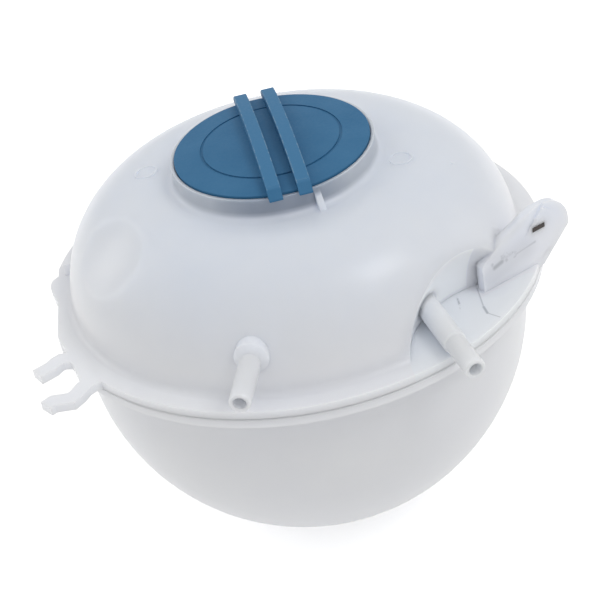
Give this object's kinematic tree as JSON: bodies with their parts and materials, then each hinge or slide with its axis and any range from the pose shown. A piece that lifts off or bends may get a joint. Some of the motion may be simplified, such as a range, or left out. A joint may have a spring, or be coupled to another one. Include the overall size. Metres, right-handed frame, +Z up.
{
  "type": "coolant expansion tank",
  "caption": "Round translucent plastic coolant tank in two welded halves with a low dome, a flange round the middle, two hose nipples, a fork clip, a fixing lug and a blue twist-off pressure cap",
  "frame": {"origin": "centre of the flat foot under the bowl, on the tank's axis", "axes": "+Z up the tank's axis through the cap, -Y towards the side with the two hose nipples, +X towards the fixing lug"},
  "size_m": [0.214, 0.2135, 0.174],
  "materials": {
    "clear_plastic": "milky translucent polypropylene",
    "blue_plastic": "satin moulded blue plastic, edges lightly scuffed",
    "grey_plastic": "plain moulded grey plastic",
    "seal_rubber": "black seal rubber",
    "spring_steel": "bright spring steel",
    "valve_brass": "turned brass",
    "dark_steel": "dull dark steel"
  },
  "bodies": {
    "tank": {"upper_shell": "clear_plastic", "lower_shell": "clear_plastic", "lug_key": "dark_steel"},
    "cap_core": {"valve_housing": "grey_plastic", "neck_seal_upper": "seal_rubber", "neck_seal_lower": "seal_rubber", "spring_retainer": "grey_plastic", "relief_spring": "spring_steel"},
    "cap": {"cap_shell": "blue_plastic"},
    "relief": {"relief_plate": "grey_plastic", "relief_seal": "seal_rubber", "vacuum_spring": "spring_steel"},
    "vacuum": {"vacuum_valve": "valve_brass", "vacuum_seal": "seal_rubber", "vacuum_clip": "spring_steel"}
  },
  "joints": [
    {"name": "cap_lift", "type": "slide", "parent": "tank", "child": "cap_core", "axis": [0, 0, 1], "range_m": [0, 0.008]},
    {"name": "cap_turn", "type": "hinge", "parent": "cap_core", "child": "cap", "pos_m": [0, 0, 0.164], "axis": [0, 0, 1], "range_deg": [0, 720]},
    {"name": "relief_lift", "type": "slide", "parent": "cap_core", "child": "relief", "axis": [0, 0, 1], "range_m": [0, 0.0025], "stiffness_N_per_m": 8000, "springref_m": -0.0044, "deforming": ["relief_spring"]},
    {"name": "vacuum_drop", "type": "slide", "parent": "relief", "child": "vacuum", "axis": [0, 0, -1], "range_m": [0, 0.0015], "stiffness_N_per_m": 300, "springref_m": -0.002, "deforming": ["vacuum_spring"]}
  ],
  "couplings": [
    {"joint": "cap_turn", "follows": "cap_lift", "rad_per_m": 1570.8}
  ]
}
